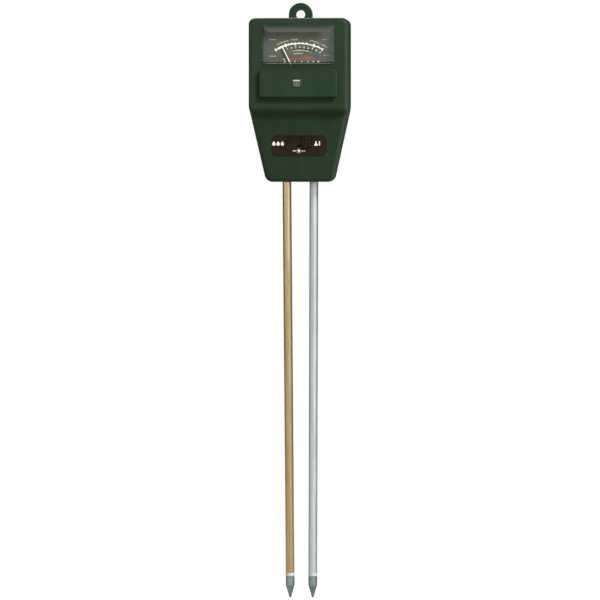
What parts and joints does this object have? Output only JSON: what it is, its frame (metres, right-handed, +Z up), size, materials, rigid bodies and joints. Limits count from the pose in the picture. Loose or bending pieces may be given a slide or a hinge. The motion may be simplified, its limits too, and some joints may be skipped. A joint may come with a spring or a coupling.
{
  "type": "soil tester",
  "caption": "Hand-held soil tester: moulded head with a moving-coil meter behind a clear window, a light cell, a slide switch and a hang tab, on long metal probes.",
  "frame": {"origin": "midway between the probes on the underside of the head, on the plane where the two case halves part", "axes": "+Z up the head, away from the probe tips; +Y to the rear, so the dial faces -Y; +X to the right as seen from the front"},
  "size_m": [0.0488, 0.0334, 0.2926],
  "materials": {
    "case_green": "satin",
    "clear_plastic": "gloss",
    "lens_plastic": "gloss",
    "cell_dark": "gloss",
    "label_black": "satin",
    "moulded_black": "matte",
    "contact_brass": "satin",
    "plated_steel": "satin",
    "contact_base": "matte",
    "board_brown": "matte",
    "resistor_body": "satin",
    "dial_olive": "matte",
    "soft_iron": "matte",
    "magnet_grey": "matte",
    "former_aluminium": "satin",
    "copper_wire": "gloss",
    "needle_white": "matte",
    "probe_brass": "satin",
    "probe_alloy": "satin",
    "collar_white": "satin",
    "tip_metal": "satin",
    "lead_red": "satin",
    "lead_black": "satin",
    "lead_yellow": "satin"
  },
  "bodies": {
    "case": {"front_case": "case_green", "rear_case": "case_green", "case_screws": "plated_steel", "meter_window": "clear_plastic", "sensor_cover": "case_green", "sensor_lens": "lens_plastic", "light_cell": "cell_dark", "switch_label": "label_black", "switch_can": "plated_steel", "switch_base": "contact_base", "switch_pins": "contact_brass", "circuit_board": "board_brown", "board_screws": "plated_steel", "resistors": "resistor_body", "meter_frame": "moulded_black", "meter_screws": "plated_steel", "dial_plate": "dial_olive", "dial_screws": "plated_steel", "pointer_stops": "contact_brass", "return_ring": "soft_iron", "core_magnet": "magnet_grey", "core_spacers": "contact_brass", "front_bridge": "contact_brass", "rear_bridge": "contact_brass", "front_hairspring": "contact_brass", "rear_hairspring": "contact_brass", "jewel_screws": "contact_brass", "bridge_screws": "plated_steel", "meter_terminals": "contact_brass", "brass_tube": "probe_brass", "brass_probe_collar": "collar_white", "brass_probe_tip": "tip_metal", "alloy_tube": "probe_alloy", "alloy_probe_collar": "collar_white", "alloy_probe_tip": "tip_metal", "probe_holder": "moulded_black", "solder_lugs": "contact_brass", "brass_core_lead": "lead_red", "alloy_core_lead": "lead_black", "probe_leads": "lead_yellow", "meter_leads": "lead_red", "cell_leads": "lead_black"},
    "movement": {"pointer": "needle_white", "balance_weight": "contact_brass", "pivot_bosses": "contact_brass", "pivot_staffs": "plated_steel", "coil_former": "former_aluminium", "coil_winding": "copper_wire"},
    "slider": {"switch_knob": "moulded_black", "switch_slider": "moulded_black", "switch_wiper": "contact_brass"}
  },
  "joints": [
    {"name": "pointer_swing", "type": "hinge", "parent": "case", "child": "movement", "pos_m": [0, -0.0055, 0.0496], "axis": [0, 1, 0], "range_deg": [-12.2, 64.4], "stiffness_Nm_per_rad": 0.00002},
    {"name": "switch_slide", "type": "slide", "parent": "case", "child": "slider", "axis": [1, 0, 0], "range_m": [-0.008, 0]}
  ]
}
